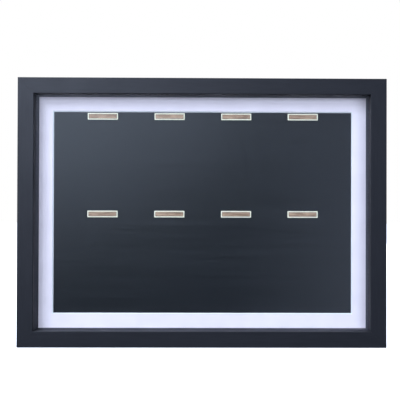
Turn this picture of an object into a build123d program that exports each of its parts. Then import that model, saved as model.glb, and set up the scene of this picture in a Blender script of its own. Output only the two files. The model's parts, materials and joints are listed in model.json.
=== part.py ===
"""Deep box frame for displaying coins: mitred rails, glazing, spacers, window mount, board and hardware.

Width runs along X, height along +Z, and the front faces -Y. The origin is the middle of the bottom face.
"""

from build123d import *
import os
from math import atan, degrees

# --- Driving dimensions, in millimetres ---------------------------------------------------------------

# The sheets that the frame is made for: A3, landscape
SHEET_WIDTH = 420.0
SHEET_HEIGHT = 297.0

# Rails
FACE_WIDTH = 20.0
FRAME_DEPTH = 33.0
LIP_THICKNESS = 5.0
LIP_OVERLAP = 3.0
SHEET_CLEARANCE = 1.0
EDGE_ROUNDING = 0.8

# The stack behind the lip
GLAZING_THICKNESS = 2.0
SPACER_THICKNESS = 2.6
MOUNT_THICKNESS = 1.4
BOARD_THICKNESS = 5.0
BACKBOARD_THICKNESS = 3.0

# The window in the mount, at its rear face, and the slope of its cut edge
WINDOW_WIDTH = 380.0
WINDOW_HEIGHT = 256.0
BEVEL_ANGLE = 45.0

# Name plates
PLATE_COLUMNS = 4
PLATE_ROWS = 2
PLATE_WIDTH = 38.4
PLATE_HEIGHT = 8.4
PLATE_THICKNESS = 1.5
PLATE_COLUMN_PITCH = 85.1
PLATE_ROW_PITCH = 124.5
PLATE_TOP_GAP = 1.4
PLATE_RIM = 1.6
PLATE_FIELD_RISE = 0.3
PLATE_EDGE_CHAMFER = 0.25
PAD_THICKNESS = 0.3
PAD_INSET = 1.9

# V-nails in the backs of the mitres
NAIL_LEG = 6.0
NAIL_THICKNESS = 0.8
NAIL_DEPTH = 10.0
NAIL_INSETS = (3.5, 9.5)

# Turn buttons and their screws
BUTTON_INSET = 9.0
BUTTON_REACH = 20.0
BUTTON_WIDTH = 11.0
BUTTON_THICKNESS = 1.2
BUTTON_LIP_LENGTH = 4.5
BUTTON_LIP_RISE = 1.5
BUTTON_X = 130.0
RUNNING_CLEARANCE = 0.08
FACE_CLEARANCE = 0.1

# Screws
SCREW_RADIUS = 1.5
SCREW_HEAD_RADIUS = 3.0
SCREW_HEAD_HEIGHT = 1.8
SCREW_HEAD_ROUNDING = 0.9
SCREW_LENGTH = 12.0
SCREW_POINT = 2.0
SCREW_TIP_RADIUS = 0.3
RECESS_SPAN = 3.4
RECESS_WIDTH = 0.8
RECESS_DEPTH = 1.1

# Strap hangers and their rings
HANGER_INSET = 8.5
HANGER_Z = 240.0
STRAP_WIDTH = 8.0
STRAP_LENGTH = 29.0
STRAP_THICKNESS = 1.0
STRAP_SCREW_DROP = 22.0
STRAP_SLIT = 0.3
RING_WIRE_RADIUS = 1.1
RING_WIDTH = 13.0
RING_DROP = 13.0
RING_TOP_RADIUS = 2.0
RING_BOTTOM_RADIUS = 5.5

# Wall bumpers
BUMPER_RADIUS = 5.0
BUMPER_HEIGHT = 5.0
BUMPER_ROUNDING = 1.0
BUMPER_Z = 30.0

# --- Sizes that follow from them ----------------------------------------------------------------------

SIGHT_WIDTH = SHEET_WIDTH + 2 * (SHEET_CLEARANCE - LIP_OVERLAP)
SIGHT_HEIGHT = SHEET_HEIGHT + 2 * (SHEET_CLEARANCE - LIP_OVERLAP)
FRAME_WIDTH = SIGHT_WIDTH + 2 * FACE_WIDTH
FRAME_HEIGHT = SIGHT_HEIGHT + 2 * FACE_WIDTH
WALL_WIDTH = FACE_WIDTH - LIP_OVERLAP
REBATE_WIDTH = FRAME_WIDTH - 2 * WALL_WIDTH
REBATE_HEIGHT = FRAME_HEIGHT - 2 * WALL_WIDTH
MIDDLE_Z = FRAME_HEIGHT / 2

# Places through the depth, from the front face at -BACK_Y to the back face at BACK_Y
BACK_Y = FRAME_DEPTH / 2
GLAZING_BACK_Y = -BACK_Y + LIP_THICKNESS + GLAZING_THICKNESS
BACKBOARD_FRONT_Y = BACK_Y - BACKBOARD_THICKNESS
BOARD_FRONT_Y = BACKBOARD_FRONT_Y - BOARD_THICKNESS
MOUNT_FRONT_Y = BOARD_FRONT_Y - MOUNT_THICKNESS
SPACER_DEPTH = MOUNT_FRONT_Y - GLAZING_BACK_Y

# Where the hardware is screwed on, as places (x, z) on the back face
BUTTON_PLACES = [
    ((-BUTTON_X, FRAME_HEIGHT - BUTTON_INSET), (0, 0, -1)),
    ((BUTTON_X, FRAME_HEIGHT - BUTTON_INSET), (0, 0, -1)),
    ((-BUTTON_X, BUTTON_INSET), (0, 0, 1)),
    ((BUTTON_X, BUTTON_INSET), (0, 0, 1)),
    ((-FRAME_WIDTH / 2 + BUTTON_INSET, MIDDLE_Z), (1, 0, 0)),
    ((FRAME_WIDTH / 2 - BUTTON_INSET, MIDDLE_Z), (-1, 0, 0)),
]
HANGER_X = FRAME_WIDTH / 2 - HANGER_INSET
HANGER_SCREW_Z = HANGER_Z - STRAP_SCREW_DROP
BUTTON_SCREW_POINTS = [place for place, _ in BUTTON_PLACES]
HANGER_SCREW_POINTS = [(-HANGER_X, HANGER_SCREW_Z), (HANGER_X, HANGER_SCREW_Z)]

POINT_ANGLE = degrees(atan((SCREW_RADIUS - SCREW_TIP_RADIUS) / SCREW_POINT))
BUTTON_HEAD_Y = BACK_Y + BUTTON_THICKNESS + 2 * FACE_CLEARANCE
HANGER_HEAD_Y = BACK_Y + STRAP_THICKNESS


def facing_front(y, z=0.0):
    """The upright plane at depth y whose normal points at the viewer, with x to the right and y up."""
    return Plane(origin=(0, y, z), x_dir=(1, 0, 0), z_dir=(0, -1, 0))


def facing_back(y, x=0.0, z=0.0, x_dir=(1, 0, 0)):
    """The upright plane at depth y whose normal points at the wall, so with x_dir along +X its y is down."""
    return Plane(origin=(x, y, z), x_dir=x_dir, z_dir=(0, 1, 0))


def finish(piece, label):
    """Label a finished piece and write it to its STEP file."""
    piece.label = label
    export_step(piece, f"parts/{label}.step")


def v_nail_outlines():
    """The eight V-nails seen from the front, drawn in the open sketch: apex outwards, a leg in each rail."""
    leg, wide = NAIL_LEG, NAIL_THICKNESS
    for x_side, z_side, turn in ((-1, -1, 0), (1, -1, 90), (1, 1, 180), (-1, 1, 270)):
        for inset in NAIL_INSETS:
            corner_x = x_side * (FRAME_WIDTH / 2 - inset)
            corner_z = MIDDLE_Z + z_side * (FRAME_HEIGHT / 2 - inset)
            with Locations((corner_x, corner_z)):
                outline = [(0, 0), (leg, 0), (leg, wide), (wide, wide), (wide, leg), (0, leg)]
                Polygon(*outline, rotation=turn, align=None)


def make_screw_shanks(points, head_y):
    """Screw shanks with conical points, from under the heads at head_y forwards."""
    parallel = SCREW_LENGTH - SCREW_POINT
    with BuildPart() as shanks:
        with BuildSketch(facing_front(head_y)):
            with Locations(*points):
                Circle(SCREW_RADIUS)
        extrude(amount=parallel)
        with BuildSketch(facing_front(head_y - parallel)):
            with Locations(*points):
                Circle(SCREW_RADIUS)
        extrude(amount=SCREW_POINT, taper=POINT_ANGLE)
    return shanks.part


def make_screws(points, head_y, shanks):
    """A group of pan-head screws with crossed recesses, driven in from the back."""
    head_points = [(x, -z) for x, z in points]
    with BuildPart() as screws:
        with BuildSketch(facing_back(head_y)):
            with Locations(*head_points):
                Circle(SCREW_HEAD_RADIUS)
        extrude(amount=SCREW_HEAD_HEIGHT)
        fillet(edges().filter_by(GeomType.CIRCLE).group_by(Axis.Y)[-1], SCREW_HEAD_ROUNDING)
        with BuildSketch(facing_back(head_y + SCREW_HEAD_HEIGHT)):
            with Locations(*head_points):
                Rectangle(RECESS_SPAN, RECESS_WIDTH)
                Rectangle(RECESS_WIDTH, RECESS_SPAN)
        extrude(amount=-RECESS_DEPTH, mode=Mode.SUBTRACT)
        add(shanks)
    return screws.part


def make_rail(edge_middle, inward, along, length, nails, shanks):
    """One rail, drawn with x inwards from its outer face and y forwards, mitred at both ends."""
    with BuildPart() as rail:
        with BuildSketch(Plane(origin=edge_middle, x_dir=inward, z_dir=along)):
            with Locations((FACE_WIDTH / 2, BACK_Y - LIP_THICKNESS / 2)):
                Rectangle(FACE_WIDTH, LIP_THICKNESS)
            fillet(vertices().group_by(Axis.Y)[-1], EDGE_ROUNDING)
            with Locations((WALL_WIDTH / 2, -LIP_THICKNESS / 2)):
                Rectangle(WALL_WIDTH, FRAME_DEPTH - LIP_THICKNESS)
        extrude(amount=length / 2, both=True)
        for end in (-1, 1):
            corner = Vector(edge_middle) + Vector(along) * (end * length / 2)
            past_mitre = Vector(inward) + Vector(along) * end
            split(bisect_by=Plane(origin=corner, z_dir=past_mitre), keep=Keep.BOTTOM)
        add(nails, mode=Mode.SUBTRACT)
        add(shanks, mode=Mode.SUBTRACT)
    return rail.part


def make_sheet(width, height, thickness, back_y):
    """A flat sheet in the middle of the frame, with its rear face at back_y."""
    with BuildPart() as sheet:
        with BuildSketch(facing_front(back_y, MIDDLE_Z)):
            Rectangle(width, height)
        extrude(amount=thickness)
    return sheet.part


def make_spacer(x, z, width, height):
    """One strip that stands between the glazing and the mount."""
    with BuildPart() as spacer:
        with BuildSketch(facing_front(MOUNT_FRONT_Y)):
            with Locations((x, z)):
                Rectangle(width, height)
        extrude(amount=SPACER_DEPTH)
    return spacer.part


def make_name_plate(x, z):
    """A small plate with a raised field that leaves a rim all round."""
    plate_back_y = BOARD_FRONT_Y - PAD_THICKNESS
    rim_depth = PLATE_THICKNESS - PLATE_FIELD_RISE
    with BuildPart() as plate:
        with BuildSketch(facing_front(plate_back_y)):
            with Locations((x, z)):
                Rectangle(PLATE_WIDTH, PLATE_HEIGHT)
        extrude(amount=rim_depth)
        chamfer(faces().sort_by(Axis.Y)[0].edges(), PLATE_EDGE_CHAMFER)
        with BuildSketch(facing_front(plate_back_y - rim_depth)):
            with Locations((x, z)):
                Rectangle(PLATE_WIDTH - 2 * PLATE_RIM, PLATE_HEIGHT - 2 * PLATE_RIM)
        extrude(amount=PLATE_FIELD_RISE)
    return plate.part


def make_turn_button(place, inward):
    """A flat button with a round tail on its pivot and a finger lip turned up at its tip."""
    x, z = place
    half_width = BUTTON_WIDTH / 2
    low_y = BACK_Y + FACE_CLEARANCE
    flat_end = BUTTON_REACH - BUTTON_LIP_LENGTH
    across = Vector(0, 1, 0).cross(Vector(inward))
    with BuildPart() as button:
        with BuildSketch(Plane(origin=(x, low_y, z), x_dir=inward, z_dir=-across)):
            side = [
                (-half_width, 0),
                (flat_end, 0),
                (BUTTON_REACH, BUTTON_LIP_RISE),
                (BUTTON_REACH, BUTTON_LIP_RISE + BUTTON_THICKNESS),
                (flat_end, BUTTON_THICKNESS),
                (-half_width, BUTTON_THICKNESS),
            ]
            Polygon(*side, align=None)
        extrude(amount=half_width, both=True)
        with BuildSketch(facing_back(low_y, x, z, inward)):
            with Locations(((BUTTON_REACH - half_width) / 2, 0)):
                SlotOverall(BUTTON_REACH + half_width, BUTTON_WIDTH)
            Circle(SCREW_RADIUS + RUNNING_CLEARANCE, mode=Mode.SUBTRACT)
        extrude(amount=BUTTON_LIP_RISE + BUTTON_THICKNESS, mode=Mode.INTERSECT)
    return button.part


def make_hanger_strap(x):
    """A strap rolled at its top into an open loop, with a screw hole near its foot."""
    bore = RING_WIRE_RADIUS + FACE_CLEARANCE
    outer = bore + STRAP_THICKNESS
    pivot_y = BACK_Y + outer
    with BuildPart() as strap:
        with BuildSketch(Plane(origin=(x, pivot_y, HANGER_Z), x_dir=(0, 1, 0), z_dir=(1, 0, 0))):
            Circle(outer)
            with Locations((STRAP_THICKNESS / 2 - outer, -STRAP_LENGTH / 2)):
                Rectangle(STRAP_THICKNESS, STRAP_LENGTH)
            Circle(bore, mode=Mode.SUBTRACT)
            with Locations((STRAP_THICKNESS + STRAP_SLIT / 2 - outer, -outer / 2)):
                Rectangle(STRAP_SLIT, outer, mode=Mode.SUBTRACT)
        extrude(amount=STRAP_WIDTH / 2, both=True)
        fillet(edges().filter_by(Axis.Y).group_by(Axis.Z)[0], STRAP_WIDTH / 2 - EDGE_ROUNDING)
        with BuildSketch(facing_front(HANGER_HEAD_Y)):
            with Locations((x, HANGER_SCREW_Z)):
                Circle(SCREW_RADIUS)
        extrude(amount=STRAP_THICKNESS, mode=Mode.SUBTRACT)
    return strap.part


def make_hanging_ring(x):
    """A closed wire ring, straight where it turns in the strap and round at the far end."""
    pivot_y = BACK_Y + RING_WIRE_RADIUS + FACE_CLEARANCE + STRAP_THICKNESS
    half_width = RING_WIDTH / 2
    with BuildPart() as ring:
        with BuildLine(facing_front(pivot_y, HANGER_Z)) as wire:
            corners = [
                (x - half_width, 0),
                (x + half_width, 0),
                (x + half_width, -RING_DROP),
                (x - half_width, -RING_DROP),
            ]
            radii = [RING_TOP_RADIUS, RING_TOP_RADIUS, RING_BOTTOM_RADIUS, RING_BOTTOM_RADIUS]
            FilletPolyline(*corners, radius=radii, close=True)
        with BuildSketch(Plane(origin=wire.line @ 0, z_dir=wire.line % 0)):
            Circle(RING_WIRE_RADIUS)
        sweep()
    return ring.part


def make_wall_bumper(x):
    """A round rubber bumper with a softened rim."""
    with BuildPart() as bumper:
        with BuildSketch(facing_back(BACK_Y)):
            with Locations((x, -BUMPER_Z)):
                Circle(BUMPER_RADIUS)
        extrude(amount=BUMPER_HEIGHT)
        fillet(edges().filter_by(GeomType.CIRCLE).sort_by(Axis.Y)[-1], BUMPER_ROUNDING)
    return bumper.part


os.makedirs("parts", exist_ok=True)

# --- Rails, and the nails and screws in them -----------------------------------------------------------

with BuildPart() as corner_v_nails:
    with BuildSketch(facing_front(BACK_Y)):
        v_nail_outlines()
    extrude(amount=NAIL_DEPTH)
finish(corner_v_nails.part, "corner_v_nails")

button_shanks = make_screw_shanks(BUTTON_SCREW_POINTS, BUTTON_HEAD_Y)
hanger_shanks = make_screw_shanks(HANGER_SCREW_POINTS, HANGER_HEAD_Y)
finish(make_screws(BUTTON_SCREW_POINTS, BUTTON_HEAD_Y, button_shanks), "turn_button_screws")
finish(make_screws(HANGER_SCREW_POINTS, HANGER_HEAD_Y, hanger_shanks), "hanger_screws")

HALF_WIDTH = FRAME_WIDTH / 2
RAILS = {
    "rail_bottom": ((0, 0, 0), (0, 0, 1), (1, 0, 0), FRAME_WIDTH),
    "rail_top": ((0, 0, FRAME_HEIGHT), (0, 0, -1), (-1, 0, 0), FRAME_WIDTH),
    "rail_left": ((-HALF_WIDTH, 0, MIDDLE_Z), (1, 0, 0), (0, 0, -1), FRAME_HEIGHT),
    "rail_right": ((HALF_WIDTH, 0, MIDDLE_Z), (-1, 0, 0), (0, 0, 1), FRAME_HEIGHT),
}
shanks = button_shanks + hanger_shanks
for rail_name, (edge_middle, inward, along, length) in RAILS.items():
    finish(make_rail(edge_middle, inward, along, length, corner_v_nails.part, shanks), rail_name)

# --- The stack behind the lip, from front to back -----------------------------------------------------

finish(make_sheet(SHEET_WIDTH, SHEET_HEIGHT, GLAZING_THICKNESS, GLAZING_BACK_Y), "glazing_sheet")

SPACER_X = (REBATE_WIDTH - SPACER_THICKNESS) / 2
SPACER_RISE = (REBATE_HEIGHT - SPACER_THICKNESS) / 2
UPRIGHT_HEIGHT = REBATE_HEIGHT - 2 * SPACER_THICKNESS
SPACERS = {
    "spacer_top": (0, MIDDLE_Z + SPACER_RISE, REBATE_WIDTH, SPACER_THICKNESS),
    "spacer_bottom": (0, MIDDLE_Z - SPACER_RISE, REBATE_WIDTH, SPACER_THICKNESS),
    "spacer_left": (-SPACER_X, MIDDLE_Z, SPACER_THICKNESS, UPRIGHT_HEIGHT),
    "spacer_right": (SPACER_X, MIDDLE_Z, SPACER_THICKNESS, UPRIGHT_HEIGHT),
}
for spacer_name, (x, z, width, height) in SPACERS.items():
    finish(make_spacer(x, z, width, height), spacer_name)

with BuildPart() as window_mount:
    with BuildSketch(facing_front(BOARD_FRONT_Y, MIDDLE_Z)):
        Rectangle(SHEET_WIDTH, SHEET_HEIGHT)
    extrude(amount=MOUNT_THICKNESS)
    with BuildSketch(facing_front(BOARD_FRONT_Y, MIDDLE_Z)):
        Rectangle(WINDOW_WIDTH, WINDOW_HEIGHT)
    extrude(amount=MOUNT_THICKNESS, taper=-BEVEL_ANGLE, mode=Mode.SUBTRACT)
finish(window_mount.part, "window_mount")

finish(make_sheet(SHEET_WIDTH, SHEET_HEIGHT, BOARD_THICKNESS, BACKBOARD_FRONT_Y), "display_board")
finish(make_sheet(SHEET_WIDTH, SHEET_HEIGHT, BACKBOARD_THICKNESS, BACK_Y), "backboard")

# --- Name plates on their pads, row by row from the top left ------------------------------------------

TOP_ROW_Z = MIDDLE_Z + (WINDOW_HEIGHT - PLATE_HEIGHT) / 2 - PLATE_TOP_GAP
PLATE_POINTS = [
    ((column - (PLATE_COLUMNS - 1) / 2) * PLATE_COLUMN_PITCH, TOP_ROW_Z - row * PLATE_ROW_PITCH)
    for row in range(PLATE_ROWS)
    for column in range(PLATE_COLUMNS)
]
for number, (x, z) in enumerate(PLATE_POINTS, start=1):
    finish(make_name_plate(x, z), f"name_plate_{number}")

with BuildPart() as name_plate_pads:
    with BuildSketch(facing_front(BOARD_FRONT_Y)):
        with Locations(*PLATE_POINTS):
            Rectangle(PLATE_WIDTH - 2 * PAD_INSET, PLATE_HEIGHT - 2 * PAD_INSET)
    extrude(amount=PAD_THICKNESS)
finish(name_plate_pads.part, "name_plate_pads")

# --- Back hardware ------------------------------------------------------------------------------------

for number, (place, inward) in enumerate(BUTTON_PLACES, start=1):
    finish(make_turn_button(place, inward), f"turn_button_{number}")

for side_name, side in (("left", -1), ("right", 1)):
    finish(make_hanger_strap(side * HANGER_X), f"hanger_strap_{side_name}")
    finish(make_hanging_ring(side * HANGER_X), f"hanging_ring_{side_name}")
    finish(make_wall_bumper(side * HANGER_X), f"wall_bumper_{side_name}")
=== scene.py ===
"""Looks of the coin display frame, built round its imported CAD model.

Drafts are drawn in millimetres in the frame's own coordinates and turned to metres as they become
pieces. Width runs along X, height along Z, and the glazed front faces -Y.
"""

import json
import logging
import math
import re
from collections.abc import Iterable, Mapping, Sequence
from dataclasses import dataclass, field
from enum import Enum
from functools import cache
from typing import ClassVar

import bmesh
import bpy
from mathutils import Matrix, Vector


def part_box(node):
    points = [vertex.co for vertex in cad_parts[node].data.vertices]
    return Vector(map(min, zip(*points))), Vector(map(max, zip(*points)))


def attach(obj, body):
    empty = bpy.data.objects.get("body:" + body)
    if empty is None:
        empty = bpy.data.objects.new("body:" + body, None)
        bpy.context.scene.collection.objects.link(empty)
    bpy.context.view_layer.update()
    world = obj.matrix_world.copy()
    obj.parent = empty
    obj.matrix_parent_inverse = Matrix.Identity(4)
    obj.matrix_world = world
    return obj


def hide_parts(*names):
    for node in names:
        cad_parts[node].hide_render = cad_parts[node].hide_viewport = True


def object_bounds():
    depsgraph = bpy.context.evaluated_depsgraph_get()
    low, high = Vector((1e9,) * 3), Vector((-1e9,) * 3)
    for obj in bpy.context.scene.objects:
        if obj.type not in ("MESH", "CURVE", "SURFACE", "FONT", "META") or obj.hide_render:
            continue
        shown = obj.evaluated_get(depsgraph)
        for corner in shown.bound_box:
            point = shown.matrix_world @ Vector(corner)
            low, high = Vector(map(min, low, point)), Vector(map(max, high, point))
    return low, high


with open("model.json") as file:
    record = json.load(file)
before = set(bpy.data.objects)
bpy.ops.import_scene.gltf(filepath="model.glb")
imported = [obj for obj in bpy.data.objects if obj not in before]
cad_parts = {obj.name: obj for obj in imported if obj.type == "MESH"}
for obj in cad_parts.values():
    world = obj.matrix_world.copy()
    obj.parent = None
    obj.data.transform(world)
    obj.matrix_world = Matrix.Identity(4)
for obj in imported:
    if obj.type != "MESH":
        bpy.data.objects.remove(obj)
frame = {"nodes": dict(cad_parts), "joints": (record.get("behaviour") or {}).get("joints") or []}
CAD_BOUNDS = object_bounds()

log = logging.getLogger("coin_display_frame")

MM = 0.001
SMOOTH_BELOW = math.radians(38)
SOFTEN_ABOVE = math.radians(50)
SAME_POINT = 1e-5  # millimetres between points that count as one
RIM_TURNS = (0, 30, 60, 90)  # degrees round a softened rim
TOP_TURNS = range(0, 91, 15)  # degrees round the top of a turned shape
FOOT_CHAMFER = (0.1, 0.12)  # millimetres in and up at the foot of a turned shape
CUT_PAST = 1.0  # millimetres that a cutting shape reaches past what it cuts

Tree = bpy.types.NodeTree
Socket = bpy.types.NodeSocket
Thing = bpy.types.Object
Ring = Sequence[bmesh.types.BMVert]
Tones = tuple[str, str]
Colour = tuple[float, float, float, float]
Outline = list[Vector]


# --- Shader nodes --------------------------------------------------------------------------------------

PATTERN_SPAN = (0.3, 0.7)  # the part of a noise pattern's range that its tones are spread over


def linear(code: str) -> Colour:
    """Turn an sRGB colour into the linear light that shaders use.

    Args:
        code: The colour as "#RRGGBB".

    Returns:
        The linear red, green, blue and an alpha of one.
    """
    channels = (int(code[place:place + 2], 16) / 255 for place in (1, 3, 5))
    red, green, blue = (
        value / 12.92 if value <= 0.04045 else ((value + 0.055) / 1.055) ** 2.4 for value in channels
    )
    return red, green, blue, 1.0


def add_node(
    tree: Tree,
    kind: str,
    inputs: Mapping[str | int, object] | None = None,
    **settings: object,
) -> bpy.types.Node:
    """Add a node with its settings, socket values and links.

    Args:
        tree: The node tree it goes in.
        kind: The node's type name without its leading "ShaderNode".
        inputs: A value or a socket to link, for each input by name or place.
        **settings: The node's own properties.

    Returns:
        The new node.
    """
    node = tree.nodes.new("ShaderNode" + kind)
    for name, value in settings.items():
        setattr(node, name, value)
    for name, value in (inputs or {}).items():
        if isinstance(value, Socket):
            tree.links.new(value, node.inputs[name])
        else:
            node.inputs[name].default_value = value
    return node


class Grain(Enum):
    """The way a finish's streaks run: whether its patterns are drawn out along X, Y and Z."""

    LEVEL = (True, False, False)
    UPRIGHT = (False, False, True)


@dataclass(frozen=True)
class Pattern:
    """A cloudy pattern, by its sizes across and along the grain in millimetres.

    It holds a number of finer layers, which are as strong as its fineness.
    """

    across: float
    along: float = 0.0
    detail: float = 3.0
    fineness: float = 0.55

    def lay(self, tree: Tree, grain: Grain) -> Socket:
        """Lay the pattern on the piece.

        Args:
            tree: The material's nodes.
            grain: The way it is drawn out.

        Returns:
            The pattern's strength from 0 to 1.
        """
        place = add_node(tree, "TexCoord").outputs["Object"]
        along = self.along or self.across
        repeats = tuple(1 / MM / (along if drawn_out else self.across) for drawn_out in grain.value)
        scaled = add_node(tree, "Mapping", {"Vector": place, "Scale": repeats}).outputs["Vector"]
        layers = {"Vector": scaled, "Scale": 1.0, "Detail": self.detail, "Roughness": self.fineness}
        return add_node(tree, "TexNoise", layers).outputs["Fac"]


@dataclass(frozen=True)
class CutCells(Pattern):
    """Cells that a blade has cut open, deep in their middles and raised at their walls."""

    def lay(self, tree: Tree, grain: Grain) -> Socket:
        """Lay the cells on the piece, from 0 in their middles, whatever its grain."""
        cells = {"Vector": add_node(tree, "TexCoord").outputs["Object"], "Scale": 1 / MM / self.across}
        return add_node(tree, "TexVoronoi", cells).outputs["Distance"]


def limits(pattern: Socket, low: float, high: float) -> dict[str, object]:
    """The inputs of a range that carries a value from low to high along a pattern."""
    start, end = PATTERN_SPAN
    return {"Value": pattern, "From Min": start, "From Max": end, "To Min": low, "To Max": high}


@dataclass(frozen=True)
class Clouds:
    """Slow clouds that lift and lower a finish's tone, and how far."""

    pattern: Pattern
    lift: float


@dataclass(frozen=True)
class Sheen:
    """A finish's roughness from its smoothest to its roughest, and the pattern that it follows."""

    smoothest: float
    roughest: float
    pattern: Pattern | None = None


@dataclass(frozen=True)
class Relief:
    """A finish's small bumps: their depth in millimetres, how strongly they show and their pattern."""

    depth: float
    bite: float = 0.5
    pattern: Pattern | None = None


@dataclass(frozen=True)
class Finish:
    """A real material's look, made once and shared by every surface that has it."""

    def shade(self, tree: Tree) -> Socket:
        """Add the finish's nodes and return its shader's output."""
        raise NotImplementedError

    @cache
    def material(self) -> bpy.types.Material:
        """Make the finish's material, the first time it is asked for.

        Returns:
            The material, named in small letters as the finish's class is.
        """
        words = re.sub(r"\B(?=[A-Z])", "_", type(self).__name__)
        material = bpy.data.materials.new(words.lower())
        material.use_nodes = True
        tree = material.node_tree
        tree.nodes.clear()
        add_node(tree, "OutputMaterial", {"Surface": self.shade(tree)})
        return material


@dataclass(frozen=True)
class TonedFinish(Finish):
    """A finish that wanders from a dark to a light tone along its pattern.

    Its sheen and its relief follow that pattern too, where they have none of their own.
    """

    tones: Tones
    pattern: Pattern
    sheen: Sheen
    relief: Relief
    clouds: Clouds | None = None
    gloss: float = 0.5
    metallic: float = 0.0
    glow: float = 0.0
    grain: Grain = Grain.LEVEL

    def shade(self, tree: Tree) -> Socket:
        """Add a surface whose colour, sheen and relief follow the finish's patterns.

        Args:
            tree: The material's nodes.

        Returns:
            The surface's shader output.
        """
        clouds, sheen, relief = self.clouds, self.sheen, self.relief
        wanted = dict.fromkeys((self.pattern, clouds and clouds.pattern, sheen.pattern, relief.pattern))
        laid = {pattern: pattern.lay(tree, self.grain) for pattern in wanted if pattern}
        tone = laid[None] = laid[self.pattern]
        if clouds:
            lift = add_node(tree, "MapRange", limits(laid[clouds.pattern], -clouds.lift, clouds.lift))
            parts = {0: lift.outputs["Result"], 1: tone}
            tone = add_node(tree, "Math", parts, operation="ADD").outputs["Value"]
        dark, light = (linear(code) for code in self.tones)
        share = add_node(tree, "MapRange", limits(tone, 0.0, 1.0)).outputs["Result"]
        toned = {0: share, 6: dark, 7: light}
        bumps = {"Height": laid[relief.pattern], "Distance": relief.depth * MM, "Strength": relief.bite}
        sockets = {
            "Base Color": add_node(tree, "Mix", toned, data_type="RGBA").outputs[2],
            "Roughness": sheen.smoothest,
            "Specular IOR Level": self.gloss,
            "Metallic": self.metallic,
            "Emission Strength": self.glow,
            "Normal": add_node(tree, "Bump", bumps).outputs["Normal"],
        }
        if sheen.roughest > sheen.smoothest:
            spread = limits(laid[sheen.pattern], sheen.smoothest, sheen.roughest)
            sockets["Roughness"] = add_node(tree, "MapRange", spread).outputs["Result"]
        return add_node(tree, "BsdfPrincipled", sockets).outputs["BSDF"]


@dataclass(frozen=True)
class SatinBlackFoil(TonedFinish):
    """Black decor paper, lacquered satin and wrapped round a fibreboard moulding.

    The lacquer gives a soft wide sheen, and the embossed wood pores run along the rail as faint streaks.
    Real pores are near 0.2 mm wide: they are drawn coarser so that they show.
    """

    tones: Tones = ("#101115", "#191A1E")
    pattern: Pattern = Pattern(0.9, 22.0)
    sheen: Sheen = Sheen(0.54, 0.63, Pattern(60.0, detail=2.0))
    relief: Relief = Relief(0.03)
    gloss: float = 0.48


@dataclass(frozen=True)
class RawFibreboard(TonedFinish):
    """Medium density fibreboard, moulded or sawn and left bare: matt tan with darker fibres."""

    tones: Tones = ("#8A6A47", "#B08E64")
    pattern: Pattern = Pattern(0.7, 2.1, 5.0, 0.7)
    clouds: Clouds = Clouds(Pattern(25.0, detail=2.0), 0.12)
    sheen: Sheen = Sheen(0.88, 0.88)
    relief: Relief = Relief(0.08, 0.6)
    gloss: float = 0.3


@dataclass(frozen=True)
class TemperedHardboard(RawFibreboard):
    """Tempered hardboard, hot-pressed: a dense brown with a slight polish on its smooth side."""

    tones: Tones = ("#5B4029", "#7C5B3B")
    pattern: Pattern = Pattern(0.9, 2.7, 5.0, 0.7)
    clouds: Clouds = Clouds(Pattern(60.0, detail=2.0), 0.12)
    sheen: Sheen = Sheen(0.62, 0.62)


@dataclass(frozen=True)
class ClearFloatGlass(Finish):
    """Clear float glass, fire-polished on both faces, which shows only as soft reflections.

    Lamps and bounced light pass straight through it, so what it shuts in is lit evenly.
    """

    body: str = "#FBFDFC"
    straight_through: str = "#F6F9F7"
    smears: Pattern = Pattern(70.0, detail=2.0)
    smear_roughness: float = 0.03
    ior: float = 1.52

    def shade(self, tree: Tree) -> Socket:
        """Add smooth glass that is open to light rays.

        Args:
            tree: The material's nodes.

        Returns:
            The glass's shader output.
        """
        smears = limits(self.smears.lay(tree, Grain.LEVEL), 0.0, self.smear_roughness)
        values = {
            "Base Color": linear(self.body),
            "Roughness": add_node(tree, "MapRange", smears).outputs["Result"],
            "IOR": self.ior,
            "Transmission Weight": 1.0,
        }
        glass = add_node(tree, "BsdfPrincipled", values).outputs["BSDF"]
        path = add_node(tree, "LightPath").outputs
        rays = {0: path["Is Shadow Ray"], 1: path["Is Diffuse Ray"]}
        lit = add_node(tree, "Math", rays, operation="MAXIMUM").outputs["Value"]
        through = {"Color": linear(self.straight_through)}
        clear = add_node(tree, "BsdfTransparent", through).outputs["BSDF"]
        return add_node(tree, "MixShader", {0: lit, 1: glass, 2: clear}).outputs["Shader"]


@dataclass(frozen=True)
class GroundGlassEdge(TonedFinish):
    """Float glass, its edge seamed on a belt: frosted, faintly green, with fine grinding marks."""

    tones: Tones = ("#C6DCD2", "#D6E8E0")
    pattern: Pattern = Pattern(0.5)
    sheen: Sheen = Sheen(0.35, 0.6)
    relief: Relief = Relief(0.03)


@dataclass(frozen=True)
class BlackPolystyrene(TonedFinish):
    """Black polystyrene, extruded as a strip: satin, with faint drawing lines along it.

    Real drawing lines are near 0.1 mm apart: they are drawn coarser so that they show.
    """

    tones: Tones = ("#060C1A", "#0A1122")
    pattern: Pattern = Pattern(0.8, 90.0, 2.0)
    sheen: Sheen = Sheen(0.52, 0.58)
    relief: Relief = Relief(0.008, 0.3)
    gloss: float = 0.22


@dataclass(frozen=True)
class WhiteMountPaper(TonedFinish):
    """Cool white paper laid on mount board: matt, almost even, with a fine eggshell tooth.

    The real tooth is near 0.2 mm: it is drawn coarser so that it shows.
    """

    tones: Tones = ("#F0E0E7", "#F7E7EE")
    pattern: Pattern = Pattern(18.0)
    sheen: Sheen = Sheen(0.92, 0.92)
    relief: Relief = Relief(0.02, 0.35, Pattern(0.9))
    gloss: float = 0.2


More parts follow.
